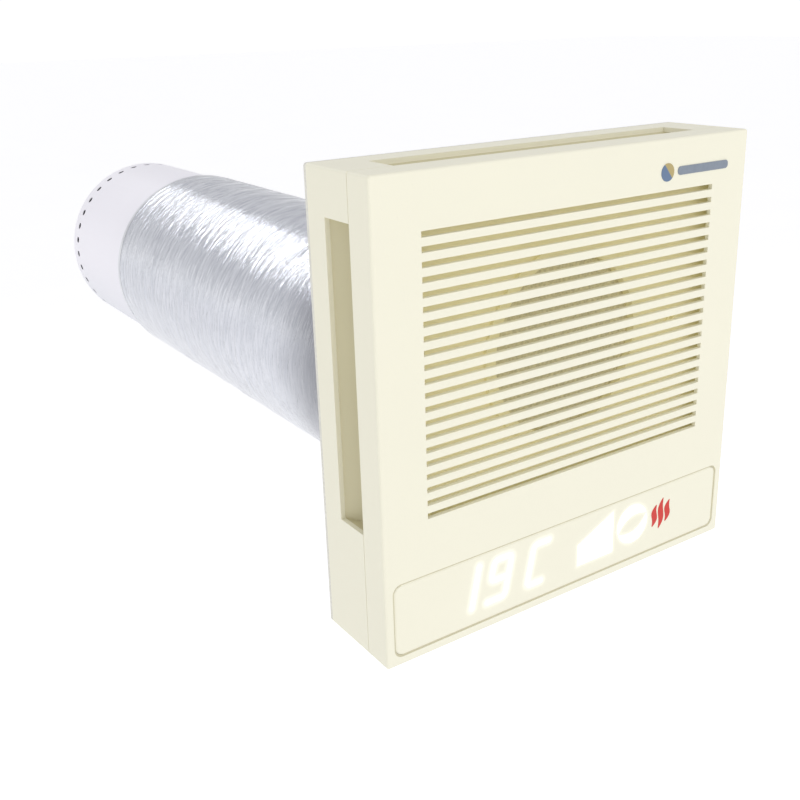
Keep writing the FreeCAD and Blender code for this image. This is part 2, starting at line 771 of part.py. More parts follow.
def bar_stroke(start, end, y0, y1):
    """A straight light stroke with pointed ends."""
    length = math.hypot(end[0] - start[0], end[1] - start[1])
    ux = (end[0] - start[0]) / length
    uz = (end[1] - start[1]) / length
    half = stroke_width / 2
    points = []
    for along, across in ((0.5, 0), (half, half), (length - half, half),
                          (length - 0.5, 0), (length - half, -half), (half, -half)):
        points.append((start[0] + ux * along - uz * across, start[1] + uz * along + ux * across))
    return prism(points, y0, y1)


def digit_strokes(x, strokes, y0, y1):
    """Strokes of a leaning seven-stroke digit whose lower left corner is at x."""
    low = plate_rise + digit_base_z
    middle = low + (digit_height - stroke_width) / 2
    high = low + digit_height - stroke_width
    wide = digit_width - stroke_width

    def corner(column, z):
        return x + stroke_width / 2 + column * wide + digit_lean * (z - low) / digit_height, z

    ends = {
        "top": (corner(0, high), corner(1, high)),
        "upper_right": (corner(1, high), corner(1, middle)),
        "lower_right": (corner(1, middle), corner(1, low)),
        "bottom": (corner(0, low), corner(1, low)),
        "lower_left": (corner(0, low), corner(0, middle)),
        "upper_left": (corner(0, middle), corner(0, high)),
        "middle": (corner(0, middle), corner(1, middle)),
    }
    return [bar_stroke(*ends[name], y0, y1) for name in strokes]


def make_digit_lenses(y0, y1):
    one = digit_strokes(-81.5, ("upper_right", "lower_right"), y0, y1)
    nine_strokes = ("top", "upper_right", "lower_right", "bottom", "upper_left", "middle")
    nine = digit_strokes(-60.0, nine_strokes, y0, y1)
    celsius = digit_strokes(-33.5, ("top", "upper_left", "lower_left", "bottom"), y0, y1)
    return group(one + nine + celsius)


def make_signal_lens(y0, y1):
    base = plate_rise + signal_base_z
    bars = []
    for i in range(5):
        x = 3.5 + 5.8 * i
        height = 15.0 + 3.2 * i
        corners = [(x, base), (x + 4.9, base), (x + 4.9, base + height + 1.4), (x, base + height)]
        bars.append(prism(corners, y0, y1))
    return group(bars)


def make_fan_lens(y0, y1):
    x = fan_symbol_x
    z = plate_rise + fan_symbol_z
    radius = fan_symbol_radius
    split = fan_symbol_split / 2
    disc = rod(x, z, radius, y0, y1)
    upper = ring(x, z + radius / 2, radius / 2 + split, radius / 2 - split, y0, y1)
    lower = ring(x, z - radius / 2, radius / 2 + split, radius / 2 - split, y0, y1)
    right_half = block(x, x + radius, y0, y1, z - split, z + radius + 2)
    left_half = block(x - radius, x, y0, y1, z - radius - 2, z + split)
    return disc.cut([upper.common(right_half), lower.common(left_half)])


def wavy_stroke(x, low, high, y0, y1):
    """A leaning wavy light stroke that tapers to both ends."""
    steps = 14
    right = []
    left = []
    for i in range(steps + 1):
        t = i / steps
        middle = x + 1.5 * math.sin(2 * math.pi * t) + 1.6 * (t - 0.5)
        half = 0.25 + 1.6 * math.sin(math.pi * t)
        z = low + (high - low) * t
        right.append((middle + half, z))
        left.append((middle - half, z))
    return prism(right + left[::-1], y0, y1)


def make_heat_lens(y0, y1):
    strokes = []
    for x, low, high in ((64.0, -99.5, -86.5), (69.5, -103.0, -84.0), (75.0, -99.5, -86.5)):
        strokes.append(wavy_stroke(x, plate_rise + low, plate_rise + high, y0, y1))
    return group(strokes)


def window_outline(inset, y0, y1):
    return rounded_prism(-window_half_width + inset, window_half_width - inset,
                         plate_rise + window_low + inset, plate_rise + window_high - inset,
                         window_corner - inset, y0, y1)


def make_display_window(y0, y1, lenses):
    return window_outline(window_gap, y0, y1).cut(lenses)


def make_window_seal(y0, y1):
    """Bead that fills the gap around the display window."""
    return window_outline(0, y0, y1).cut(window_outline(window_gap, y0, y1))


def build_all():
    save("rear_housing", make_rear_housing())
    save("wall_gasket", make_wall_gasket())
    save("left_air_guide", make_air_guide(-1))
    save("right_air_guide", make_air_guide(1))
    save("top_air_guide", make_top_guide())
    save("cable_gland", make_cable_gland())

    save("duct_tube", make_duct_tube())
    save("duct_collar", make_duct_collar())
    save("collar_screws", make_collar_screws())
    save("insulation_jacket", make_insulation_jacket())
    save("jacket_end_band", make_jacket_end_band())
    save("outdoor_grille", make_outdoor_grille())
    save("insect_guard", make_insect_guard())

    save("room_tube_sheet", make_tube_sheet(room_sheet_y))
    save("outdoor_tube_sheet", make_tube_sheet(outdoor_sheet_y))
    save("exchanger_tubes", make_exchanger_tubes())
    save("flow_baffles", make_flow_baffles())

    save("extract_hood", make_extract_hood())
    save("supply_elbow", make_supply_elbow())
    save("heater_element", make_heater_element())
    save("intake_tube", make_intake_tube())
    save("extract_fan_frame", make_extract_fan_frame())
    save("extract_fan_motor", make_fan_motor(inlet_z, extract_fan_y, -1))
    save("extract_impeller", make_impeller(inlet_z, extract_fan_y, -1, extract_ring_inner))
    save("supply_fan_frame", make_supply_fan_frame())
    save("supply_fan_motor", make_fan_motor(0, supply_fan_y, 1))
    save("supply_impeller", make_impeller(0, supply_fan_y, 1, supply_ring_inner))

    save("divider_plate", make_divider_plate())
    save("divider_screws", make_divider_screws())
    save("filter_frame", make_filter_frame())
    save("filter_pad", make_filter_pad())
    save("control_board", make_control_board())
    save("board_parts", make_board_parts())
    save("terminal_block", make_terminal_block())
    save("display_board", make_display_board())
    save("digit_light", make_light_block(*digit_light_x))
    save("signal_light", make_light_block(*signal_light_x))
    save("fan_light", make_light_block(*fan_light_x))
    save("heat_light", make_light_block(*heat_light_x))
    save("temperature_sensor", make_temperature_sensor())
    save("mains_lead", make_mains_lead())
    save("display_lead", make_display_lead())
    save("extract_fan_lead", make_extract_fan_lead())
    save("supply_fan_lead", make_supply_fan_lead())
    save("heater_lead", make_heater_lead())

    save("front_cover", make_front_cover())
    save("cover_pegs", make_cover_pegs())
    save("front_badge", make_badge())
    lens_front = face_y + window_recess
    lens_back = lens_front + window_thickness
    lenses = {
        "digit_lenses": make_digit_lenses(lens_front, lens_back),
        "signal_lenses": make_signal_lens(lens_front, lens_back),
        "fan_lens": make_fan_lens(lens_front, lens_back),
        "heat_lenses": make_heat_lens(lens_front, lens_back),
    }
    for name, lens in lenses.items():
        save(name, lens)
    save("display_window", make_display_window(lens_front, lens_back, list(lenses.values())))
    save("window_seal", make_window_seal(lens_front + window_seal_setback, lens_back))


build_all()
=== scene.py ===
import math
import random

import bmesh
import bpy
import numpy as np
from mathutils import Matrix, Vector


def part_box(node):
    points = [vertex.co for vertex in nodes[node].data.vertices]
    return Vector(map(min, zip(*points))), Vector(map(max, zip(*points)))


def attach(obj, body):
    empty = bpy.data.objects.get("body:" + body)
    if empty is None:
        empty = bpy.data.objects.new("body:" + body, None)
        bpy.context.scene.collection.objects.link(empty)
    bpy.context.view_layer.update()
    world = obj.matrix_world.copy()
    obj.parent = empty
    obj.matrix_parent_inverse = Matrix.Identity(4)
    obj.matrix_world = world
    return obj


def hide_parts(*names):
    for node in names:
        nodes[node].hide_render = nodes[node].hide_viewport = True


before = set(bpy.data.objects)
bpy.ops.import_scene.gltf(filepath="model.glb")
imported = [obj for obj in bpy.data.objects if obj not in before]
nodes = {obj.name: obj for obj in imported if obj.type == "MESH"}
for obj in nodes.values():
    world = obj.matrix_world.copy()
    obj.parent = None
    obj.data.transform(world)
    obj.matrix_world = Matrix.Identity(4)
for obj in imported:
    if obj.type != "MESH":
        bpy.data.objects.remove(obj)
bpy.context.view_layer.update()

MM = 0.001
PLATE_RISE = (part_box("front_cover")[0].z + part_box("front_cover")[1].z) / 2 / MM

CREAM = (0.865, 0.842, 0.69)
# Painted shade: a darker copy of the cream for the air guides seen through the slots.
SHADED_GUIDE_CREAM = (0.62, 0.575, 0.38)
TUBE_WHITE = (0.87, 0.855, 0.905)
PALE_GREY = (0.55, 0.55, 0.53)
NEAR_BLACK = (0.03, 0.03, 0.03)
PLASTIC_SPECULAR = 0.35
DUCT_SKIN = 0.4 * MM

# Foil jacket
JACKET_ROWS = 451
JACKET_COLUMNS = 280
JACKET_THICKNESS = 2.4 * MM
CREASE_COUNT = 3600
CREASE_REACH_Y = 8 * MM
CREASE_LOWEST = -1.0 * MM
CREASE_HIGHEST = 0.8 * MM
JACKET_END_FADE = 5 * MM

# Filter foam
FOAM_RINGS = 26
FOAM_COLUMNS = 96
FOAM_GAP = 0.2 * MM
FOAM_WAVE = 0.05 * MM

# Lit window and its symbols: places in millimetres from the plate's centre
STROKE = 3.9
LIT_STROKE = STROKE * 0.66
STROKE_CORNER = 3.0
DIGIT_LOW = -105.0
DIGIT_RISE = 22.8
DIGIT_LEAN = 5.0
SYMBOL_THICKNESS = 0.10 * MM
SYMBOL_SINK = 0.02 * MM
SIGNAL_OUTLINE = [(5.0, -105.5), (31.0, -105.5), (31.0, -80.8), (5.0, -93.2)]
FAN_CENTRE = (46.5, -93.0)
FAN_RADIUS = 11.5
FAN_LEAF_LIFT = 0.86
FLAMES = [(64.3, -100.5, -87.0), (69.6, -103.0, -84.0), (74.9, -100.0, -86.5)]
GLOW_WIDTH = 1.3
GLOW_TAIL = 3.5
WINDOW_CORNER = 4.4 * MM
WINDOW_EDGE = 0.35 * MM
WINDOW_STEP = 0.7 * MM

# Studio
FLOOR_HALF = 30.0
FLOOR_Z = -0.75
FLOOR_LIFT = 0.30
SOFTBOX_PLACE = (0.25, -2.15, 1.5)
SOFTBOX_POWER = 14.0
STRIP_PLACE = (-0.58, 1.50, 1.06)
STRIP_POWER = 4.2
CAMERA_PLACE = (-0.3396, -0.4118, 0.2024)
CAMERA_TURN = -0.5972
CAMERA_TILT = -0.3399
CAMERA_ROLL = 0.0257


# Shader sums

class Value:
    """A shader socket that can be used in Python sums."""

    def __init__(self, finish, socket):
        self.finish = finish
        self.socket = socket

    def sum_with(self, operation, first, second):
        return self.finish.node("ShaderNodeMath", {"operation": operation}, {0: first, 1: second})

    def __add__(self, other):
        return self.sum_with("ADD", self, other)

    def __radd__(self, other):
        return self.sum_with("ADD", other, self)

    def __sub__(self, other):
        return self.sum_with("SUBTRACT", self, other)

    def __rsub__(self, other):
        return self.sum_with("SUBTRACT", other, self)

    def __mul__(self, other):
        return self.sum_with("MULTIPLY", self, other)

    def __rmul__(self, other):
        return self.sum_with("MULTIPLY", other, self)

    def __pow__(self, other):
        return self.sum_with("POWER", self, other)


class Finish:
    """A node material built around one Principled surface."""

    def __init__(self, name):
        self.material = bpy.data.materials.new(name)
        self.material.use_nodes = True
        self.tree = self.material.node_tree
        self.surface = self.tree.nodes["Principled BSDF"]

    def node(self, kind, settings, values, result=0):
        made = self.tree.nodes.new(kind)
        for name, setting in settings.items():
            setattr(made, name, setting)
        for name, value in values.items():
            self.feed(made.inputs[name], value)
        return Value(self, made.outputs[result])

    def feed(self, socket, value):
        if isinstance(value, Value):
            self.tree.links.new(value.socket, socket)
        elif isinstance(value, tuple) and socket.type == "RGBA":
            socket.default_value = (*value, 1.0)
        else:
            socket.default_value = value

    def place(self, scale=(1, 1, 1)):
        """Position in metres, stretched by scale."""
        where = self.node("ShaderNodeTexCoord", {}, {}, "Object")
        if scale == (1, 1, 1):
            return where
        return self.node("ShaderNodeVectorMath", {"operation": "MULTIPLY"}, {0: where, 1: scale})

    def axis(self, name, where=None):
        return self.node("ShaderNodeSeparateXYZ", {}, {0: where or self.place()}, name)

    def noise(self, scale, detail=3.0, roughness=0.5, where=None):
        values = {"Vector": where or self.place(), "Scale": scale, "Detail": detail, "Roughness": roughness}
        return self.node("ShaderNodeTexNoise", {}, values, "Fac")

    def ramp(self, value, low, high):
        """0 below low and 1 above high, smooth between."""
        values = {"Value": value, "From Min": low, "From Max": high, "To Min": 0.0, "To Max": 1.0}
        return self.node("ShaderNodeMapRange", {"interpolation_type": "SMOOTHSTEP"}, values)

    def mix(self, share, first, second):
        values = {"Factor": share, "A": first, "B": second}
        made = self.tree.nodes.new("ShaderNodeMix")
        made.data_type = "RGBA"
        for socket in made.inputs:
            if socket.enabled and socket.name in values:
                self.feed(socket, values[socket.name])
        return Value(self, next(s for s in made.outputs if s.enabled))

    def bump(self, height, depth, strength=1.0):
        values = {"Height": height, "Distance": depth, "Strength": strength}
        normal = self.node("ShaderNodeBump", {}, values)
        self.feed(self.surface.inputs["Normal"], normal)

    def set(self, **values):
        for name, value in values.items():
            self.feed(self.surface.inputs[name.replace("_", " ")], value)

    def glow(self, colour, strength=1.0):
        self.set(Emission_Color=colour)
        self.surface.inputs["Emission Strength"].default_value = strength


# Finishes

def tinted(colour, factor):
    return tuple(min(1.0, c * factor) for c in colour)


def moulded_plastic(name, colour, roughness=0.5, grain=900.0, depth=0.00004, variation=0.04):
    finish = Finish(name)
    cloud = finish.noise(14.0, 4.0)
    speck = finish.noise(grain, 2.0, 0.6)
    shade = finish.mix(cloud, tinted(colour, 1 - variation), tinted(colour, 1 + variation))
    finish.set(Base_Color=finish.mix(finish.ramp(speck, 0.62, 0.8) * 0.12, shade, tinted(colour, 0.8)))
    finish.set(Roughness=roughness - 0.06 + cloud * 0.12)
    finish.surface.inputs["Specular IOR Level"].default_value = PLASTIC_SPECULAR
    finish.bump(speck, depth, 0.35)
    return finish.material


def grille_backing():
    """Deep cream plastic behind the slots, with a painted glow that lightens the shaded slot interiors."""
    finish = Finish("deep cream backing plastic with painted glow")
    cloud = finish.noise(16.0, 4.0)
    grain = finish.noise(800.0, 2.0)
    deep_cream = finish.mix(cloud, (0.86, 0.80, 0.54), (0.92, 0.86, 0.60))
    finish.set(Base_Color=deep_cream, Roughness=0.55 + grain * 0.1)
    # Painted light: a faint glow that lifts the shade inside the slots.
    finish.glow(finish.mix(cloud, (0.085, 0.076, 0.036), (0.100, 0.090, 0.044)))
    finish.bump(grain, 0.00004, 0.3)
    return finish.material


def duct_plastic():
    """White duct plastic, dark grey on the inside of the bore, with painted shade darkening its underside."""
    finish = Finish("white duct plastic")
    cloud = finish.noise(14.0, 4.0)
    grain = finish.noise(500.0, 2.0)
    radius = (finish.axis("X") ** 2 + finish.axis("Z") ** 2) ** 0.5
    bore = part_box("duct_tube")[1].x - DUCT_SKIN
    skin = finish.ramp(radius, bore - 0.0002, bore)
    duct_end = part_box("duct_tube")[1].y
    end_face = finish.ramp(finish.axis("Y"), duct_end - 0.0006, duct_end - 0.0002)
    outside = finish.node("ShaderNodeMath", {"operation": "MAXIMUM"}, {0: skin, 1: end_face})
    upper = finish.mix(cloud, tinted(TUBE_WHITE, 0.99), tinted(TUBE_WHITE, 1.04))
    # Painted shade: a darker, bluer copy of the white, mixed in towards the underside.
    painted_underside = finish.mix(cloud, (0.63, 0.645, 0.70), (0.67, 0.685, 0.74))
    white = finish.mix(finish.ramp(finish.axis("Z"), -0.07, 0.01), painted_underside, upper)
    finish.set(Base_Color=finish.mix(outside, (0.12, 0.12, 0.13), white), Roughness=0.34 + cloud * 0.1)
    finish.bump(grain, 0.00004, 0.35)
    return finish.material


def brushed_metal(name, colour, roughness=0.3, stretch=(40, 900, 900)):
    finish = Finish(name)
    streak = finish.noise(1.0, 3.0, 0.6, finish.place(stretch))
    stain = finish.noise(60.0, 3.0)
    finish.set(Base_Color=finish.mix(streak, tinted(colour, 0.8), tinted(colour, 1.1)))
    finish.set(Metallic=1.0, Roughness=roughness - 0.08 + streak * 0.12 + stain * 0.1)
    finish.bump(streak, 0.00003, 0.4)
    return finish.material


def insulated_wire(name, colour):
    finish = Finish(name)
    dirt = finish.noise(240.0, 3.0)
    sleeve = finish.mix(dirt, tinted(colour, 0.8), tinted(colour, 1.15))
    finish.set(Base_Color=sleeve, Roughness=0.35 + dirt * 0.2)
    finish.bump(dirt, 0.00005, 0.3)
    return finish.material


def circuit_board(name):
    """Green lacquer over copper tracks that run in steps."""
    finish = Finish(name)
    across = finish.axis("X")
    up = finish.axis("Z")
    across_steps = across + finish.noise(90.0, 0.0) * 0.004
    up_steps = up + finish.noise(70.0, 0.0) * 0.004
    lane = finish.node("ShaderNodeMath", {"operation": "PINGPONG"}, {0: across_steps, 1: 0.0018})
    rung = finish.node("ShaderNodeMath", {"operation": "PINGPONG"}, {0: up_steps, 1: 0.0026})
    choice = finish.ramp(finish.noise(55.0, 0.0), 0.49, 0.51)
    track = finish.ramp(lane, 0.0008, 0.0010) * choice + finish.ramp(rung, 0.0014, 0.0016) * (1 - choice)
    lacquer = finish.mix(track, (0.012, 0.10, 0.045), (0.05, 0.22, 0.09))
    finish.set(Base_Color=lacquer, Roughness=0.28 + track * 0.1)
    finish.bump(track, 0.00004, 0.6)
    return finish.material


def gasket_foam():
    finish = Finish("pale closed-cell foam")
    cells = finish.node("ShaderNodeTexVoronoi", {}, {"Vector": finish.place(), "Scale": 900.0}, "Distance")
    finish.set(Base_Color=finish.mix(cells, (0.66, 0.65, 0.58), (0.82, 0.81, 0.74)), Roughness=0.85)
    finish.bump(cells, 0.0002, 0.7)
    return finish.material


def filter_foam():
    finish = Finish("open-cell filter foam")
    cells = finish.node("ShaderNodeTexVoronoi", {}, {"Vector": finish.place(), "Scale": 620.0}, "Distance")
    dust = finish.noise(38.0, 4.0)
    clean = finish.mix(cells, (0.58, 0.53, 0.35), (0.84, 0.78, 0.54))
    finish.set(Base_Color=finish.mix(dust * 0.5, clean, (0.72, 0.66, 0.45)), Roughness=0.9)
    # Painted light: a faint glow that lightens the foam in its shaded recess.
    finish.glow(finish.mix(cells, (0.030, 0.028, 0.015), (0.060, 0.056, 0.032)))
    finish.bump(cells, 0.0004, 0.7)
    return finish.material


def crinkled_foil():
    """Metallised film: fine wrinkles that run around the duct, a little out of line, with painted shading
    that tones the film's underside and a painted shadow that darkens it next to the plate.
    """
    finish = Finish("crinkled metallised film")
    where = finish.place()
    drift = finish.noise(7.0, 2.0)
    along = finish.axis("Y", where)
    across = finish.axis("X", where)
    up = finish.axis("Z", where)
    sway = along + drift * 0.02 + up * 0.06
    wrinkle_axes = {"X": across * 62.0, "Y": sway * 500.0, "Z": up * 62.0}
    wrinkle_place = finish.node("ShaderNodeCombineXYZ", {}, wrinkle_axes)
    wrinkle = finish.noise(1.0, 3.0, 0.6, wrinkle_place)
    fine_axes = {"X": across * 130.0, "Y": sway * 1200.0, "Z": up * 130.0}
    fine_place = finish.node("ShaderNodeCombineXYZ", {}, fine_axes)
    fine = finish.noise(1.0, 2.0, 0.5, fine_place)
    patch = finish.noise(22.0, 3.0)
    film = finish.mix(patch, (0.575, 0.595, 0.645), (0.64, 0.66, 0.71))
    upper = finish.mix(finish.ramp(wrinkle, 0.38, 0.62), film, (0.71, 0.725, 0.775))
    # Painted shading: the film's underside gets its own tone for how light falls there.
    painted_underside = finish.mix(wrinkle, (0.65, 0.665, 0.71), (0.73, 0.745, 0.79))
    skin = finish.mix(finish.ramp(up, -0.065, 0.02), painted_underside, upper)
    # Painted shadow: the film darkens towards the plate.
    clear_of_painted_shadow = finish.ramp(along, 0.065, 0.15)
    finish.set(Base_Color=finish.mix(clear_of_painted_shadow, (0.26, 0.265, 0.29), skin))
    finish.set(Metallic=1.0, Roughness=0.09 + fine * 0.11 + patch * 0.05)
    finish.bump(wrinkle + fine * 0.4, 0.0009, 0.5)
    return finish.material


def foil_tape():
    finish = Finish("foil tape")
    press = finish.noise(160.0, 3.0)
    finish.set(Base_Color=finish.mix(press, (0.62, 0.63, 0.66), (0.80, 0.81, 0.84)))
    finish.set(Metallic=1.0, Roughness=0.24 + press * 0.1)
    finish.bump(press, 0.0002, 0.4)
    return finish.material


def badge_print():
    """Blue-grey print with a warm corner on the disc."""
    finish = Finish("badge print")
    across = finish.axis("X")
    up = finish.axis("Z")
    low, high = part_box("front_badge")
    disc_x = low.x + (high.z - low.z) / 2
    middle = (low.z + high.z) / 2
    side = finish.ramp((across - disc_x) + (up - middle) * 0.8, 0.0006, 0.0010)
    on_disc = 1 - finish.ramp(across, disc_x + 0.0048, disc_x + 0.0052)
    warm = finish.mix(side, (0.12, 0.19, 0.31), (0.45, 0.36, 0.15))
    worn = finish.noise(400.0, 3.0)
    ink = finish.mix(worn, (0.19, 0.225, 0.275), (0.25, 0.29, 0.35))
    finish.set(Base_Color=finish.mix(on_disc, ink, warm), Roughness=0.35 + worn * 0.15)
    finish.bump(worn, 0.00002, 0.3)
    return finish.material


def lit_plastic():
    """Cream window plastic with the light that leaks around each lit symbol."""
    finish = Finish("lit window plastic")
    cloud = finish.noise(14.0, 4.0)
    leak = finish.node("ShaderNodeAttribute", {"attribute_name": "glow"}, {}, "Fac")
    cream = finish.mix(cloud, tinted(CREAM, 0.985), tinted(CREAM, 1.015))
    finish.set(Base_Color=cream, Roughness=0.42 + cloud * 0.1)
    finish.surface.inputs["Specular IOR Level"].default_value = PLASTIC_SPECULAR
    finish.glow(finish.mix(leak, (0.0, 0.0, 0.0), (0.20, 0.20, 0.185)))
    finish.bump(finish.noise(900.0, 2.0), 0.00003, 0.3)
    return finish.material


def symbol_light(name, colour, strength):
    finish = Finish(name)
    ripple = finish.noise(260.0, 2.0)
    finish.set(Base_Color=tinted(colour, 0.9), Roughness=0.4 + ripple * 0.1)
    finish.glow(finish.mix(ripple, tinted(colour, 0.94), colour), strength)
    return finish.material


def red_symbol():
    finish = Finish("red heat symbol")
    ripple = finish.noise(240.0, 3.0)
    red = finish.mix(ripple, (0.52, 0.016, 0.010), (0.62, 0.028, 0.018))
    finish.set(Base_Color=red, Roughness=0.4 + ripple * 0.1)
    finish.glow(finish.mix(ripple, (0.03, 0.003, 0.002), (0.05, 0.005, 0.003)))
    return finish.material


def seal_rubber():
    finish = Finish("olive sealing bead")
    skin = finish.noise(700.0, 2.0)
    olive = finish.mix(skin, (0.58, 0.55, 0.39), (0.66, 0.62, 0.45))
    finish.set(Base_Color=olive, Roughness=0.55 + skin * 0.1)
    finish.bump(skin, 0.00003, 0.3)
    return finish.material


def floor_paint():
    finish = Finish("pale floor paint")
    cloud = finish.noise(3.0, 3.0)
    finish.set(Base_Color=finish.mix(cloud, (0.93, 0.93, 0.93), (0.96, 0.96, 0.96)), Roughness=0.9)
    finish.glow((1.0, 1.0, 1.0), FLOOR_LIFT)
    return finish.material


cream_plastic = moulded_plastic("cream moulded plastic", CREAM, 0.48, variation=0.015)
shaded_guide_plastic = moulded_plastic("air guide plastic in painted shade", SHADED_GUIDE_CREAM, 0.6, variation=0.04)
grille_plastic = moulded_plastic("white grille plastic", TUBE_WHITE, 0.42, grain=600.0, variation=0.02)
grey_plastic = moulded_plastic("pale grey moulded plastic", PALE_GREY, 0.55)
black_plastic = moulded_plastic("black glass-filled plastic", (0.025, 0.025, 0.028), 0.45, grain=700.0)
light_plastic = moulded_plastic("diffuser plastic", (0.80, 0.80, 0.78), 0.4)
red_plastic = moulded_plastic("red diffuser plastic", (0.70, 0.28, 0.24), 0.4)
dark_rubber = moulded_plastic("black gland rubber", NEAR_BLACK, 0.7, grain=600.0)
part_plastic = moulded_plastic("dark component plastic", (0.05, 0.05, 0.06), 0.4)
zinc = brushed_metal("zinc plated steel", (0.55, 0.56, 0.58), 0.32, (500, 500, 500))
tube_metal = brushed_metal("drawn exchanger tube", (0.70, 0.60, 0.50), 0.28, (900, 30, 900))
fin_metal = brushed_metal("heater fins", (0.60, 0.58, 0.54), 0.35, (60, 700, 700))
guard_wire = brushed_metal("guard wire", (0.60, 0.61, 0.63), 0.3, (400, 400, 400))
stator_metal = brushed_metal("stator steel", (0.40, 0.40, 0.42), 0.35, (900, 60, 900))
board_lacquer = circuit_board("circuit board")

NODE_FINISHES = {
    cream_plastic: ("rear_housing", "front_cover", "cover_pegs", "duct_collar"),
    grille_backing(): ("divider_plate", "filter_frame", "temperature_sensor"),
    shaded_guide_plastic: ("left_air_guide", "right_air_guide", "top_air_guide"),
    gasket_foam(): ("wall_gasket",),
    duct_plastic(): ("duct_tube",),
    grille_plastic: ("outdoor_grille",),
    grey_plastic: ("room_tube_sheet", "outdoor_tube_sheet", "flow_baffles", "extract_hood", "supply_elbow",
                   "intake_tube", "terminal_block"),
    black_plastic: ("extract_fan_frame", "extract_impeller", "supply_fan_frame", "supply_impeller"),
    light_plastic: ("digit_light", "signal_light", "fan_light"),
    red_plastic: ("heat_light",),
    dark_rubber: ("cable_gland",),
    part_plastic: ("board_parts",),
    zinc: ("collar_screws", "divider_screws"),
    tube_metal: ("exchanger_tubes",),
    fin_metal: ("heater_element",),
    guard_wire: ("insect_guard",),
    stator_metal: ("extract_fan_motor", "supply_fan_motor"),
    board_lacquer: ("control_board", "display_board"),
    badge_print(): ("front_badge",),
    seal_rubber(): ("window_seal",),
    foil_tape(): ("jacket_end_band",),
    insulated_wire("brown mains wire", (0.16, 0.07, 0.03)): ("mains_lead",),
    insulated_wire("white display wire", (0.70, 0.70, 0.68)): ("display_lead",),
    insulated_wire("black fan wire", NEAR_BLACK): ("extract_fan_lead", "supply_fan_lead"),
    insulated_wire("red heater wire", (0.45, 0.03, 0.02)): ("heater_lead",),
}


def finish_nodes():
    for finish, names in NODE_FINISHES.items():
        for name in names:
            mesh = nodes[name].data
            mesh.materials.clear()
            mesh.materials.append(finish)


# Mesh helpers

def mesh_piece(name, vertices, faces, material, smooth=True):
    mesh = bpy.data.meshes.new(name)
    mesh.from_pydata([tuple(v) for v in vertices], [], faces)
    mesh.polygons.foreach_set("use_smooth", [smooth] * len(mesh.polygons))
    mesh.materials.append(material)
    mesh.update()
    piece = bpy.data.objects.new(name, mesh)
    bpy.context.scene.collection.objects.link(piece)
    return piece


def clean_mesh(piece, weld=None):
    """Turns all faces outwards, and joins points closer than weld."""
    cleaned = bmesh.new()
    cleaned.from_mesh(piece.data)
    if weld:
        bmesh.ops.remove_doubles(cleaned, verts=cleaned.verts, dist=weld)
    bmesh.ops.recalc_face_normals(cleaned, faces=cleaned.faces)
    cleaned.to_mesh(piece.data)
    cleaned.free()


# Foil jacket

def jacket_surface(radius, low_y, high_y):
    """Outer radius of the jacket on a grid of places along and around the duct."""
    rng = random.Random(11)
    along = np.linspace(low_y, high_y, JACKET_ROWS)
    around = np.linspace(0, 2 * np.pi, JACKET_COLUMNS + 1)[:-1]
    step = along[1] - along[0]
    height = np.zeros((len(along), len(around)))
    for _ in range(CREASE_COUNT):
        middle_y = rng.uniform(low_y, high_y)
        middle_angle = rng.uniform(0, 2 * np.pi)
        reach = rng.uniform(0.05, 0.28)
        lean = rng.gauss(0.010, 0.012)
        width = rng.uniform(0.8, 1.9) * MM
        rise = rng.uniform(-0.26, 0.28) * MM
        turn = (around - middle_angle + np.pi) % (2 * np.pi) - np.pi
        first = max(0, int((middle_y - CREASE_REACH_Y - low_y) / step))
        last = min(len(along), int((middle_y + CREASE_REACH_Y - low_y) / step) + 1)
        offset = (along[first:last, None] - middle_y - lean * turn[None, :]) / width
        height[first:last] += rise * np.exp(-offset ** 2 - (turn[None, :] / reach) ** 2)
    y, angle = np.meshgrid(along, around, indexing="ij")
    height += 0.10 * MM * np.sin(3 * angle + 9 * y) + 0.08 * MM * np.sin(5 * angle - 31 * y)
    ends = np.clip(np.minimum(y - low_y, high_y - y) / JACKET_END_FADE, 0, 1)
    height = np.clip(height, CREASE_LOWEST, CREASE_HIGHEST)
    return along, around, radius + (height - 0.2 * MM) * (0.25 + 0.75 * ends)


def make_foil_jacket(material):
    low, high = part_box("insulation_jacket")
    radius = high.x
    inner = radius - JACKET_THICKNESS
    along, around, surface = jacket_surface(radius, low.y, high.y)
    rows = [(along[0], np.full(len(around), inner))]
    rows += [(y, surface[i]) for i, y in enumerate(along)]
    rows += [(along[-1], np.full(len(around), inner))]
    vertices = []
    for y, radii in rows:
        vertices += [(r * math.cos(a), y, r * math.sin(a)) for r, a in zip(radii, around)]
    count = len(around)
    faces = []
    for i in range(len(rows)):
        start = i * count
        following = ((i + 1) % len(rows)) * count
        for j in range(count):
            k = (j + 1) % count
            faces.append((start + j, following + j, following + k, start + k))
    jacket = mesh_piece("foil_jacket", vertices, faces, material)
    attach(jacket, "wall_unit")
    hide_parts("insulation_jacket")


# Filter

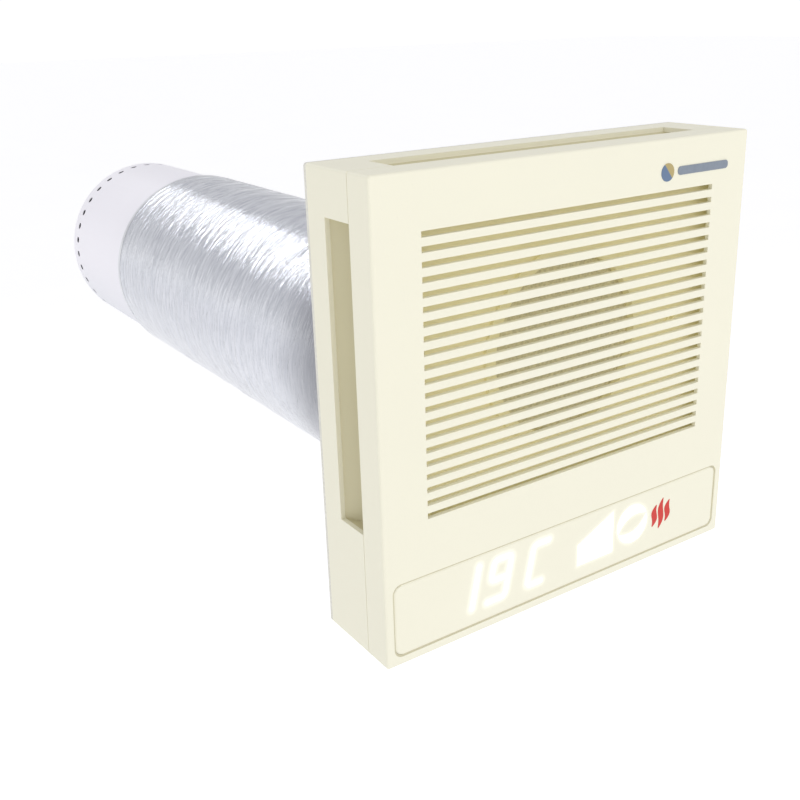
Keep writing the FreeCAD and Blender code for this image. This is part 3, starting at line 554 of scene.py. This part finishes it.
def make_filter_foam(material):
    """Foam disc with a soft, slightly crowned face."""
    low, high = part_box("filter_pad")
    middle_z = (low.z + high.z) / 2
    radius = (high.x - low.x) / 2 - FOAM_GAP
    rng = random.Random(5)
    waves = [(rng.uniform(60, 260), rng.uniform(0, 6.28), rng.uniform(0, 6.28)) for _ in range(8)]
    steps = FOAM_RINGS
    count = FOAM_COLUMNS
    vertices = []
    for face_y, crown in ((low.y, 0.6 * MM), (high.y, -0.4 * MM)):
        for i in range(steps + 1):
            r = radius * i / steps
            for j in range(count):
                a = 2 * math.pi * j / count
                x = r * math.cos(a)
                z = r * math.sin(a)
                turns = [k * (x * math.cos(t) + z * math.sin(t)) + p for k, t, p in waves]
                ripple = sum(math.sin(turn) for turn in turns) * FOAM_WAVE
                edge = (r / radius) ** 6
                vertices.append((x, face_y + crown * edge + ripple * (1 - edge) + 0.25 * crown, middle_z + z))
    faces = []
    side = (steps + 1) * count
    for i in range(steps):
        for j in range(count):
            k = (j + 1) % count
            a, b = i * count, (i + 1) * count
            faces.append((a + j, a + k, b + k, b + j))
            faces.append((side + b + j, side + b + k, side + a + k, side + a + j))
    rim = steps * count
    for j in range(count):
        k = (j + 1) % count
        faces.append((rim + j, rim + k, side + rim + k, side + rim + j))
    pad = mesh_piece("filter_foam", vertices, faces, material)
    clean_mesh(pad, weld=1e-7)
    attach(pad, "wall_unit")
    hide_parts("filter_pad")


# Lit symbols

def digit_corner(x, wide, column, share):
    return x + wide * column + DIGIT_LEAN * share, DIGIT_LOW + DIGIT_RISE * share


def one_strokes():
    return [[digit_corner(-68.0, 0, 0, 0.0), digit_corner(-68.0, 0, 0, 1.0)]]


def nine_strokes():
    x = -58.0
    wide = 11.5
    loop = [(1, 0.5), (0, 0.5), (0, 1.0), (1, 1.0), (1, 0.5)]
    tail = [(1, 0.5), (1, 0.0), (0, 0.0)]
    return [[digit_corner(x, wide, *spot) for spot in line] for line in (loop, tail)]


def celsius_strokes():
    x = -31.5
    wide = 12.0
    hook = [(0.85, 1.0), (0, 1.0), (0, 0.0), (0.8, 0.0)]
    return [[digit_corner(x, wide, *spot) for spot in hook]]


def round_corners(points, radius):
    """The line with each corner turned along a short curve."""
    spots = [Vector(p) for p in points]
    line = [spots[0]]
    for before, corner, after in zip(spots, spots[1:], spots[2:]):
        start = corner + (before - corner).normalized() * radius
        end = corner + (after - corner).normalized() * radius
        for i in range(7):
            t = i / 6
            line.append(start.lerp(corner, t).lerp(corner.lerp(end, t), t))
    line.append(spots[-1])
    return line


def digit_lines():
    strokes = one_strokes() + nine_strokes() + celsius_strokes()
    return [round_corners(line, STROKE_CORNER) for line in strokes]


def distance_to_line(x, z, line):
    """Distance from each grid place to the nearest stretch of the line."""
    nearest = np.full(x.shape, 1e3)
    for a, b in zip(line, line[1:]):
        dx, dz = b.x - a.x, b.y - a.y
        share = np.clip(((x - a.x) * dx + (z - a.y) * dz) / (dx * dx + dz * dz + 1e-12), 0, 1)
        nearest = np.minimum(nearest, np.hypot(x - a.x - dx * share, z - a.y - dz * share))
    return nearest


def distance_to_shape(x, z, outline):
    """Distance outside a closed outline, zero inside it."""
    inside = np.full(x.shape, False)
    edge = np.full(x.shape, 1e3)
    corners = [Vector(p) for p in outline]
    for a, b in zip(corners, corners[1:] + corners[:1]):
        crosses = (a.y > z) != (b.y > z)
        reach = a.x + (z - a.y) * (b.x - a.x) / (b.y - a.y + 1e-12)
        inside ^= crosses & (x < reach)
        edge = np.minimum(edge, distance_to_line(x, z, [a, b]))
    return np.where(inside, 0, edge)


def glow_at(x, z):
    """How much of the symbols' light leaks through the window at each place."""
    gap = np.full(x.shape, 1e3)
    for line in digit_lines():
        gap = np.minimum(gap, distance_to_line(x, z, line) - STROKE / 2)
    for outline in [SIGNAL_OUTLINE] + fan_blades():
        gap = np.minimum(gap, distance_to_shape(x, z, outline))
    gap = np.maximum(gap, 0)
    return np.exp(-(gap / GLOW_WIDTH) ** 2) * 0.85 + np.exp(-gap / GLOW_TAIL) * 0.15


def make_lit_window(material):
    """Window strip with rounded corners and a fine front grid that carries the glow."""
    low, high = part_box("display_window")
    corner = WINDOW_CORNER
    columns = int((high.x - low.x) / WINDOW_STEP)
    rows = int((high.z - low.z) / WINDOW_STEP)
    u = np.linspace(low.x, high.x, columns)
    w = np.linspace(low.z, high.z, rows)
    x, z = np.meshgrid(u, w, indexing="ij")
    squeeze = np.zeros_like(x)
    depth_in = np.minimum(z - low.z, high.z - z)
    short = depth_in < corner
    squeeze[short] = corner - np.sqrt(corner ** 2 - (corner - depth_in[short]) ** 2)
    middle_x = (low.x + high.x) / 2
    half = (high.x - low.x) / 2
    x = middle_x + (x - middle_x) * (half - squeeze) / half
    border = np.minimum(depth_in, half - squeeze - np.abs(x - middle_x))
    drop = np.where(border < 1e-6, WINDOW_EDGE, 0.0)
    front = np.stack([x, np.full_like(x, low.y) + drop, z], -1).reshape(-1, 3)
    vertices = [tuple(v) for v in front]
    faces = []
    for i in range(columns - 1):
        for j in range(rows - 1):
            a = i * rows + j
            faces.append((a, a + rows, a + rows + 1, a + 1))
    loop = [(i, 0) for i in range(columns)] + [(columns - 1, j) for j in range(1, rows)]
    loop += [(i, rows - 1) for i in range(columns - 2, -1, -1)]
    loop += [(0, j) for j in range(rows - 2, 0, -1)]
    rim = [i * rows + j for i, j in loop]
    back = len(vertices)
    vertices += [(vertices[k][0], high.y, vertices[k][2]) for k in rim]
    for k in range(len(rim)):
        following = (k + 1) % len(rim)
        faces.append((rim[following], rim[k], back + k, back + following))
    faces.append(tuple(back + k for k in range(len(rim))))
    window = mesh_piece("lit_window", vertices, faces, material, smooth=False)
    glow = window.data.attributes.new("glow", "FLOAT", "POINT")
    spots = np.array(vertices)
    levels = glow_at(spots[:, 0] / MM, spots[:, 2] / MM - PLATE_RISE)
    glow.data.foreach_set("value", levels.astype(np.float32))
    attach(window, "pull_off_cover")
    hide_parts("display_window")


def symbol_mesh(name, outlines, material, stands_for):
    """Thin plates on the window's face, one for each closed outline."""
    face_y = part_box("display_window")[0].y
    vertices = []
    faces = []
    for outline in outlines:
        first = len(vertices)
        count = len(outline)
        for y in (face_y - SYMBOL_THICKNESS, face_y + SYMBOL_SINK):
            vertices += [(x * MM, y, (z + PLATE_RISE) * MM) for x, z in outline]
        faces.append(tuple(first + i for i in range(count)))
        faces.append(tuple(first + count + i for i in reversed(range(count))))
        for i in range(count):
            k = (i + 1) % count
            faces.append((first + k, first + i, first + count + i, first + count + k))
    piece = mesh_piece(name, vertices, faces, material, smooth=False)
    clean_mesh(piece)
    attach(piece, "pull_off_cover")
    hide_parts(stands_for)


def ribbon(line, width):
    """Outline of a line drawn with a round pen."""
    half = width / 2
    left = []
    right = []
    for i, spot in enumerate(line):
        before = line[max(i - 1, 0)]
        after = line[min(i + 1, len(line) - 1)]
        along = (after - before).normalized()
        across = Vector((-along.y, along.x)) * half
        left.append(spot + across)
        right.append(spot - across)
    start_way = (line[0] - line[1]).normalized()
    end_way = (line[-1] - line[-2]).normalized()
    caps = []
    for spot, way in ((line[0], start_way), (line[-1], end_way)):
        across = Vector((way.y, -way.x))
        turns = [math.pi * i / 8 for i in range(1, 8)]
        caps.append([spot + across * half * math.cos(a) + way * half * math.sin(a) for a in turns])
    outline = left + caps[1][::-1] + right[::-1] + caps[0][::-1]
    return [(p.x, p.y) for p in outline]


def make_digit_symbols(material):
    outlines = [ribbon(line, LIT_STROKE) for line in digit_lines()]
    symbol_mesh("lit_digits", outlines, material, "digit_lenses")


def make_signal_symbol(material):
    symbol_mesh("lit_signal_bars", [SIGNAL_OUTLINE], material, "signal_lenses")


def fan_blades():
    """Outlines of the round symbol's two crescents, with a leaf-shaped space between them."""
    blades = []
    for turn in (0.0, math.pi):
        ends = [math.radians(a) + turn for a in (22.0, 196.0)]
        steps = 30
        arc = [ends[0] + (ends[1] - ends[0]) * i / steps for i in range(steps + 1)]
        outline = []
        for a in arc:
            spot = Vector(FAN_CENTRE) + Vector((math.cos(a), math.sin(a))) * FAN_RADIUS
            outline.append((spot.x, spot.y))
        first = Vector(outline[-1])
        last = Vector(outline[0])
        tilt = turn + math.radians(20)
        lift = Vector((-math.sin(tilt), math.cos(tilt))) * FAN_RADIUS * FAN_LEAF_LIFT
        bend = Vector(FAN_CENTRE) + lift
        for i in range(1, 16):
            t = i / 16
            spot = first.lerp(bend, t).lerp(bend.lerp(last, t), t)
            outline.append((spot.x, spot.y))
        blades.append(outline)
    return blades


def make_fan_symbol(material):
    symbol_mesh("lit_fan_blades", fan_blades(), material, "fan_lens")


def make_heat_symbol(material):
    """Three leaning flames."""
    flames = []
    for x, low, high in FLAMES:
        right = []
        left = []
        for i in range(25):
            t = i / 24
            middle = x + 1.0 * math.sin(2 * math.pi * t) + 3.0 * (t - 0.5)
            half = 2.15 * math.sin(math.pi * t) ** 0.7 + 0.05
            right.append((middle + half, low + (high - low) * t))
            left.append((middle - half, low + (high - low) * t))
        flames.append(right + left[::-1])
    symbol_mesh("red_flames", flames, material, "heat_lenses")


# Studio

def add_area_light(name, place, aim, size, power, colour):
    lamp = bpy.data.lights.new(name, "AREA")
    lamp.shape = "RECTANGLE"
    lamp.size, lamp.size_y = size
    lamp.energy = power
    lamp.color = colour
    light = bpy.data.objects.new(name, lamp)
    light.location = place
    light.rotation_euler = (Vector(aim) - Vector(place)).to_track_quat("-Z", "Y").to_euler()
    bpy.context.scene.collection.objects.link(light)


def make_world():
    """White near the horizon and softer grey above, for the foil to mirror."""
    world = bpy.data.worlds.new("studio")
    bpy.context.scene.world = world
    world.use_nodes = True
    tree = world.node_tree
    where = tree.nodes.new("ShaderNodeTexCoord")
    parts = tree.nodes.new("ShaderNodeSeparateXYZ")
    ramp = tree.nodes.new("ShaderNodeValToRGB")
    tree.links.new(where.outputs["Generated"], parts.inputs[0])
    tree.links.new(parts.outputs["Z"], ramp.inputs["Fac"])
    stops = ramp.color_ramp.elements
    stops[0].position = 0.045
    stops[0].color = (1.05, 1.05, 1.05, 1)
    stops[1].position = 0.16
    stops[1].color = (0.72, 0.72, 0.74, 1)
    tree.links.new(ramp.outputs["Color"], tree.nodes["Background"].inputs["Color"])
    tree.nodes["Background"].inputs["Strength"].default_value = 1.0


def make_floor(material):
    spots = [(-1, -1), (1, -1), (1, 1), (-1, 1)]
    corners = [(x * FLOOR_HALF, y * FLOOR_HALF, FLOOR_Z) for x, y in spots]
    floor = mesh_piece("floor", corners, [(0, 1, 2, 3)], material, smooth=False)


def make_camera():
    lens = bpy.data.cameras.new("camera")
    lens.lens = 45.63
    lens.sensor_width = 36.0
    lens.shift_x = -0.0239
    lens.shift_y = -0.0326
    lens.clip_start = 0.01
    lens.clip_end = 100.0
    camera = bpy.data.objects.new("camera", lens)
    turn = Matrix.Rotation(CAMERA_TURN, 4, "Z")
    tilt = Matrix.Rotation(CAMERA_TILT, 4, "X")
    roll = Matrix.Rotation(CAMERA_ROLL, 4, "Y")
    upright = Matrix.Rotation(math.radians(90), 4, "X")
    camera.matrix_world = Matrix.Translation(CAMERA_PLACE) @ turn @ tilt @ roll @ upright
    bpy.context.scene.collection.objects.link(camera)
    bpy.context.scene.camera = camera


finish_nodes()
make_foil_jacket(crinkled_foil())
make_filter_foam(filter_foam())
make_lit_window(lit_plastic())
white_light = symbol_light("white symbol light", (1.0, 1.0, 0.96), 1.25)
make_digit_symbols(white_light)
make_signal_symbol(white_light)
make_fan_symbol(white_light)
make_heat_symbol(red_symbol())

make_world()
make_floor(floor_paint())
make_camera()
add_area_light("front softbox", SOFTBOX_PLACE, (0, 0, 0), (1.8, 1.8), SOFTBOX_POWER, (1.0, 0.99, 0.97))
add_area_light("foil strip light", STRIP_PLACE, (0, 0.2, 0), (1.5, 0.14), STRIP_POWER, (1.0, 1.0, 1.0))

bpy.context.scene.view_settings.view_transform = "Standard"
